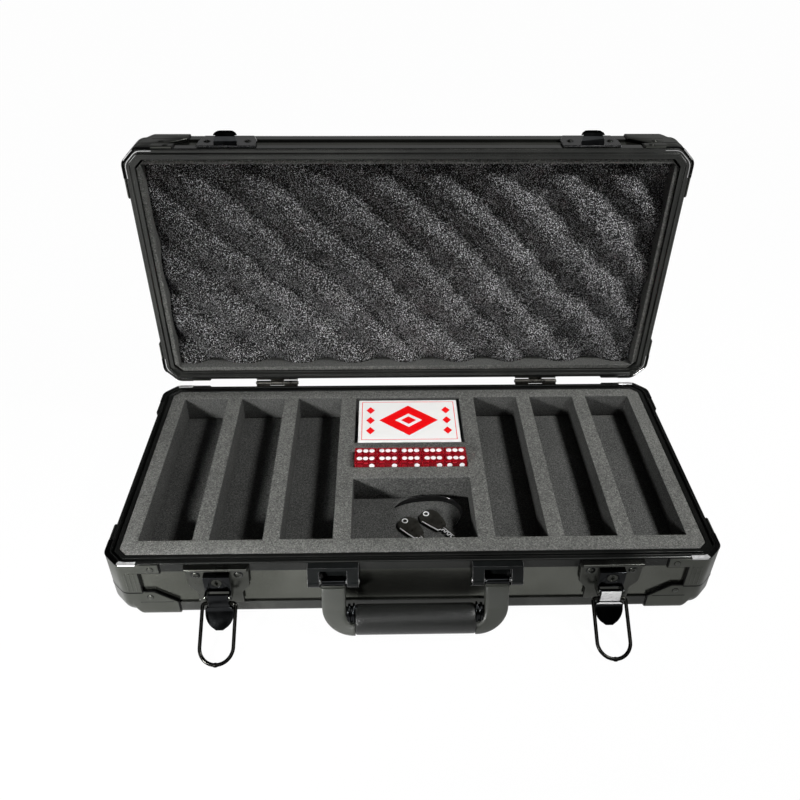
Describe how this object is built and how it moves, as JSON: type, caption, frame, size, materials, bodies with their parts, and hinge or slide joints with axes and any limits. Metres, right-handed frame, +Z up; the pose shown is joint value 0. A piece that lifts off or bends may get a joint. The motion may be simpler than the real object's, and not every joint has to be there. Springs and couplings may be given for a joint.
{
  "type": "poker chip case",
  "caption": "Hard sided case with a hinged foam lined lid, draw latches and a folding handle; a cut foam tray holds chips, dice, cards and keys.",
  "frame": {"origin": "centre of the base's floor sheet on its underside, which the corner guards hold 1.5 mm above the table", "axes": "+Z up, +X to the right along the case, -Y towards the user, where the handle and latches are"},
  "size_m": [0.468, 0.317, 0.3007],
  "materials": {
    "panel_abs": "dark olive grey moulded sheet with a fine grain",
    "rail_anodised": "black anodised extrusion, satin",
    "guard_coated": "dark grey coated pressed steel, satin",
    "black_nickel": "black plated, glossy",
    "hinge_steel": "plain plated, slightly dull",
    "pin_steel": "plain drawn wire",
    "handle_abs": "dark grey moulded, matt",
    "grip_vinyl": "black padded cover with a leather grain",
    "tray_foam": "dark grey flecked foam",
    "crate_foam": "charcoal open cell foam",
    "die_acrylic": "clear red acrylic, polished, white pips",
    "card_box_card": "white coated card with a red device",
    "key_nickel": "dark plated, worn",
    "strap_plastic": "black, glossy"
  },
  "bodies": {
    "base": {"base_rim_rail": "rail_anodised", "base_edge_rail": "rail_anodised", "base_floor_sheet": "panel_abs", "base_front_panel": "panel_abs", "base_back_panel": "panel_abs", "base_left_panel": "panel_abs", "base_right_panel": "panel_abs", "base_guard_front_right": "guard_coated", "base_guard_back_right": "guard_coated", "base_guard_back_left": "guard_coated", "base_guard_front_left": "guard_coated", "base_foam_pad": "tray_foam", "chip_tray_foam": "tray_foam", "hinge_base_leaf_left": "hinge_steel", "hinge_pin_left": "pin_steel", "latch_plate_left": "black_nickel", "lever_pin_left": "pin_steel", "handle_bracket_left": "black_nickel", "handle_pin_left": "pin_steel", "hinge_base_leaf_right": "hinge_steel", "hinge_pin_right": "pin_steel", "latch_plate_right": "black_nickel", "lever_pin_right": "pin_steel", "handle_bracket_right": "black_nickel", "handle_pin_right": "pin_steel"},
    "lid": {"lid_rim_rail": "rail_anodised", "lid_edge_rail": "rail_anodised", "lid_top_sheet": "panel_abs", "lid_front_panel": "panel_abs", "lid_back_panel": "panel_abs", "lid_left_panel": "panel_abs", "lid_right_panel": "panel_abs", "lid_guard_front_right": "guard_coated", "lid_guard_back_right": "guard_coated", "lid_guard_back_left": "guard_coated", "lid_guard_front_left": "guard_coated", "lid_liner_foam": "tray_foam", "egg_crate_foam": "crate_foam", "hinge_lid_leaf_left": "hinge_steel", "lid_catch_left": "black_nickel", "hinge_lid_leaf_right": "hinge_steel", "lid_catch_right": "black_nickel"},
    "handle": {"handle_frame": "handle_abs", "handle_grip": "grip_vinyl"},
    "lever_left": {"draw_lever_left": "black_nickel"},
    "loop_left": {"wire_loop_left": "black_nickel"},
    "lock_left": {"lock_barrel_left": "black_nickel"},
    "lever_right": {"draw_lever_right": "black_nickel"},
    "loop_right": {"wire_loop_right": "black_nickel"},
    "lock_right": {"lock_barrel_right": "black_nickel"},
    "card_box": {"card_box": "card_box_card"},
    "die_1": {"die_1": "die_acrylic"},
    "die_2": {"die_2": "die_acrylic"},
    "die_3": {"die_3": "die_acrylic"},
    "die_4": {"die_4": "die_acrylic"},
    "die_5": {"die_5": "die_acrylic"},
    "key_left": {"key_left": "key_nickel"},
    "key_right": {"key_right": "key_nickel"},
    "key_strap": {"key_strap": "strap_plastic"}
  },
  "joints": [
    {"name": "lid_hinge", "type": "hinge", "parent": "base", "child": "lid", "pos_m": [0, 0.1172, 0.0573], "axis": [-1, 0, 0], "range_deg": [-90, 0]},
    {"name": "handle_hinge", "type": "hinge", "parent": "base", "child": "handle", "pos_m": [0, -0.12, 0.0427], "axis": [-1, 0, 0], "range_deg": [0, 95]},
    {"name": "lever_left_hinge", "type": "hinge", "parent": "base", "child": "lever_left", "pos_m": [-0.1483, -0.1232, 0.031], "axis": [-1, 0, 0], "range_deg": [0, 100]},
    {"name": "loop_left_hinge", "type": "hinge", "parent": "lever_left", "child": "loop_left", "pos_m": [-0.1483, -0.1233, 0.024], "axis": [1, 0, 0], "range_deg": [-126.34, 0]},
    {"name": "lock_left_turn", "type": "hinge", "parent": "base", "child": "lock_left", "pos_m": [-0.1483, -0.121, 0.0437], "axis": [0, -1, 0], "range_deg": [0, 90]},
    {"name": "lever_right_hinge", "type": "hinge", "parent": "base", "child": "lever_right", "pos_m": [0.1483, -0.1232, 0.031], "axis": [-1, 0, 0], "range_deg": [0, 100]},
    {"name": "loop_right_hinge", "type": "hinge", "parent": "lever_right", "child": "loop_right", "pos_m": [0.1483, -0.1233, 0.024], "axis": [1, 0, 0], "range_deg": [-126.34, 0]},
    {"name": "lock_right_turn", "type": "hinge", "parent": "base", "child": "lock_right", "pos_m": [0.1483, -0.121, 0.0437], "axis": [0, -1, 0], "range_deg": [0, 90]},
    {"name": "card_box_lift", "type": "slide", "parent": "base", "child": "card_box", "axis": [0, 0, 1], "range_m": [0, 0.06]},
    {"name": "die_1_lift", "type": "slide", "parent": "base", "child": "die_1", "axis": [0, 0, 1], "range_m": [0, 0.06]},
    {"name": "die_2_lift", "type": "slide", "parent": "base", "child": "die_2", "axis": [0, 0, 1], "range_m": [0, 0.06]},
    {"name": "die_3_lift", "type": "slide", "parent": "base", "child": "die_3", "axis": [0, 0, 1], "range_m": [0, 0.06]},
    {"name": "die_4_lift", "type": "slide", "parent": "base", "child": "die_4", "axis": [0, 0, 1], "range_m": [0, 0.06]},
    {"name": "die_5_lift", "type": "slide", "parent": "base", "child": "die_5", "axis": [0, 0, 1], "range_m": [0, 0.06]},
    {"name": "key_left_lift", "type": "slide", "parent": "base", "child": "key_left", "axis": [0, 0, 1], "range_m": [0, 0.06]},
    {"name": "key_right_lift", "type": "slide", "parent": "base", "child": "key_right", "axis": [0, 0, 1], "range_m": [0, 0.06]},
    {"name": "key_strap_lift", "type": "slide", "parent": "base", "child": "key_strap", "axis": [0, 0, 1], "range_m": [0, 0.06]}
  ]
}
